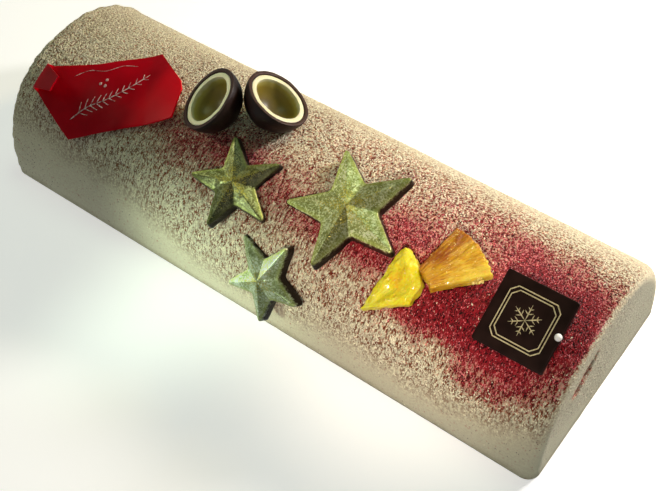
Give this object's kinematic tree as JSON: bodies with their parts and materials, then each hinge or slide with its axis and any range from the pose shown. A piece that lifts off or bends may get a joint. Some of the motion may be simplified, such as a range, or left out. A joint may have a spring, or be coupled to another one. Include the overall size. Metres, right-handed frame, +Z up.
{
  "type": "yule log cake",
  "caption": "Arched mousse log cake with speckled velvet coating, moulded stars, coconut-like shells, candied pineapple, a dark tile and a red plaque on top.",
  "frame": {"origin": "centre of the log's flat base, on the surface it stands on", "axes": "+X along the log, -Y towards the side with the leaning star, +Z up"},
  "size_m": [0.259, 0.098, 0.0699],
  "materials": {
    "ivory_velvet": "granular cocoa-butter velvet over mousse, speckled burgundy",
    "plaque_red": "smooth deep red sugar sheet",
    "dark_chocolate_left": "satin dark chocolate",
    "ivory_lining_left": "smooth white chocolate",
    "dark_chocolate_right": "satin dark chocolate",
    "ivory_lining_right": "smooth white chocolate",
    "green_gold_small": "moulded chocolate with green-gold lustre",
    "green_gold_large": "moulded chocolate with green-gold lustre",
    "green_gold_front": "moulded chocolate with green-gold lustre",
    "pineapple_yellow": "candied fruit, wet with sugar crystals",
    "pineapple_amber": "candied fruit, fibrous and translucent",
    "tile_chocolate": "glossy dark chocolate with gold line work",
    "pearl_white": "smooth white sugar"
  },
  "bodies": {
    "root": {"log_body": "ivory_velvet", "red_plaque": "plaque_red", "shell_left": "dark_chocolate_left", "lining_left": "ivory_lining_left", "shell_right": "dark_chocolate_right", "lining_right": "ivory_lining_right", "star_small": "green_gold_small", "star_large": "green_gold_large", "star_front": "green_gold_front", "pineapple_chunk": "pineapple_yellow", "pineapple_wedge": "pineapple_amber", "chocolate_tile": "tile_chocolate", "sugar_pearl": "pearl_white"}
  },
  "joints": []
}
